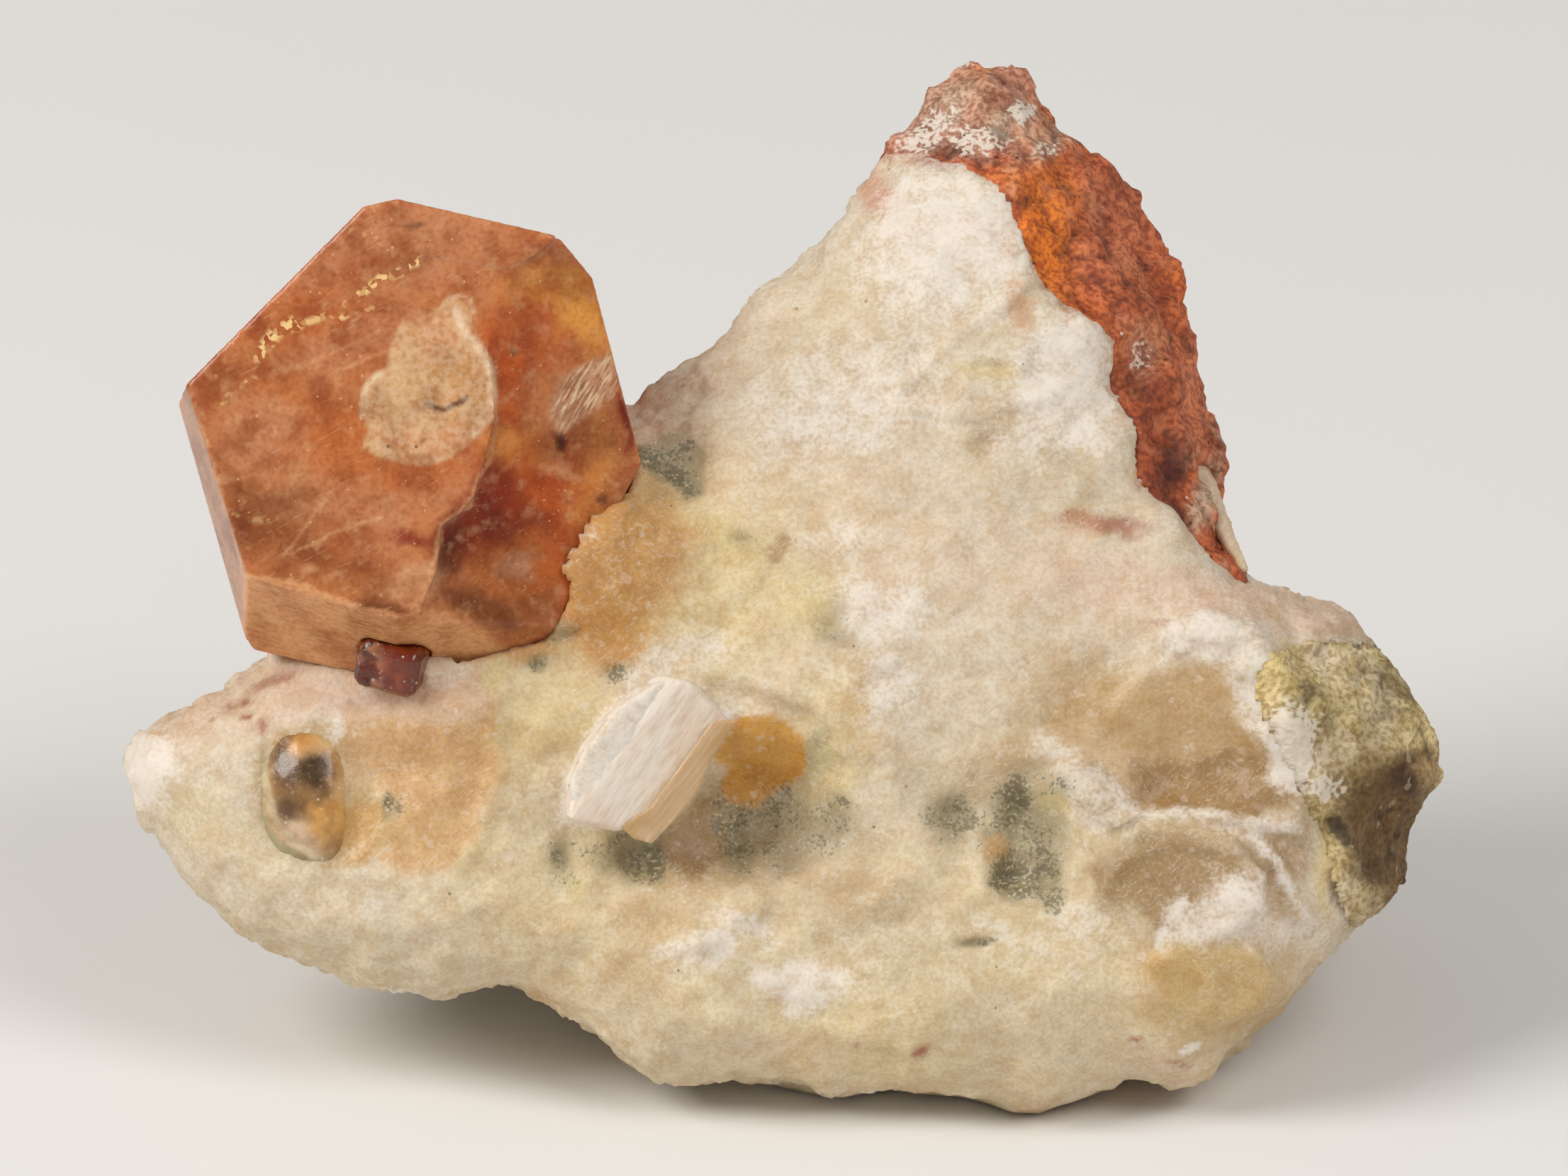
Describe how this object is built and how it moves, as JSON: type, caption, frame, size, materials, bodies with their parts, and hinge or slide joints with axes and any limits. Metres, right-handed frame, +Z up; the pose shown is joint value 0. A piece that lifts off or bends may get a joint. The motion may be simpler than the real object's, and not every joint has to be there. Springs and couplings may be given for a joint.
{
  "type": "hematoid quartz",
  "caption": "Display specimen: a large orange quartz crystal on a lump of milky quartz with an iron oxide rind, which stands on a flat cut base.",
  "frame": {"origin": "bottom centre of the specimen's box, on the plane of the cut base", "axes": "+Z up; +X to the right of the broad face, along the longest side; the broad face looks towards -Y and leans back"},
  "size_m": [0.0894, 0.0468, 0.0603],
  "materials": {
    "matrix": "sugary milky quartz, satin",
    "main_crystal": "hazy orange quartz, glossy",
    "red_crystal": "dark red quartz, glossy",
    "iron_rind": "rust-coated quartz, matte",
    "host_rock": "mottled green and grey rock, matte",
    "pale_splinter": "pale quartz, satin",
    "round_smoky_crystal": "smoky quartz, glossy",
    "white_blade": "white feldspar, satin",
    "amber_grain": "amber quartz, glossy",
    "smoky_grain": "smoky quartz, glossy",
    "clear_grain": "pale smoky quartz, glossy",
    "honey_grain": "honey quartz, glossy",
    "grey_grain": "grey-green rock, matte"
  },
  "bodies": {
    "root": {"matrix": "matrix", "main_crystal": "main_crystal", "red_crystal": "red_crystal", "iron_rind": "iron_rind", "host_rock": "host_rock", "pale_splinter": "pale_splinter", "round_smoky_crystal": "round_smoky_crystal", "white_blade": "white_blade", "amber_grain": "amber_grain", "smoky_grain": "smoky_grain", "clear_grain": "clear_grain", "honey_grain": "honey_grain", "grey_grain": "grey_grain"}
  },
  "joints": []
}
